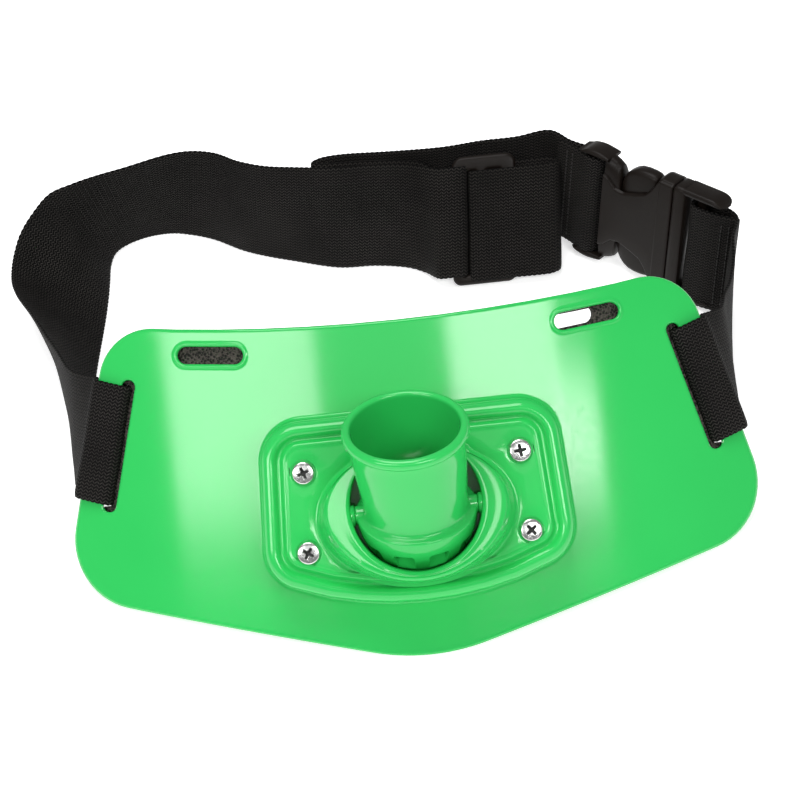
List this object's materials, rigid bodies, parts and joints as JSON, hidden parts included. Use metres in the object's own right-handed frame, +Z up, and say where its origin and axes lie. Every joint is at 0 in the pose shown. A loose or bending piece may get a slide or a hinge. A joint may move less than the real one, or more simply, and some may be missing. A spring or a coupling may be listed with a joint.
{
  "type": "fishing fighting belt",
  "caption": "Waist belt for fighting fish: a curved belly plate with a foam pad and a tilting cup for the rod butt, on black webbing with a slider and a side-release buckle.",
  "frame": {"origin": "middle of the bounding box in plan, on the floor that the belt lies on", "axes": "+Z up from the floor; -Y towards the viewer, the way the belly plate's leaning front faces; +Y back to where the webbing lies; +X to the viewer's right, where the buckle is"},
  "size_m": [0.3276, 0.2846, 0.1034],
  "materials": {
    "green_plastic": "glossy moulded green",
    "black_plastic": "satin moulded black",
    "webbing": "woven black webbing",
    "foam": "black closed-cell foam",
    "steel": "bright stainless steel"
  },
  "bodies": {
    "belt": {"belly_plate": "green_plastic", "back_pad": "foam", "gimbal_base": "green_plastic", "pivot_pin": "steel", "screw_1": "steel", "screw_2": "steel", "screw_3": "steel", "screw_4": "steel", "long_strap": "webbing", "short_strap": "webbing", "tri_glide": "black_plastic", "buckle_socket": "black_plastic", "buckle_prong": "black_plastic"},
    "cup": {"rod_cup": "green_plastic"}
  },
  "joints": [
    {"name": "cup_pivot", "type": "hinge", "parent": "belt", "child": "cup", "pos_m": [0.00893, -0.11099, 0.05924], "axis": [1, 0, 0], "range_deg": [0, 55]}
  ]
}
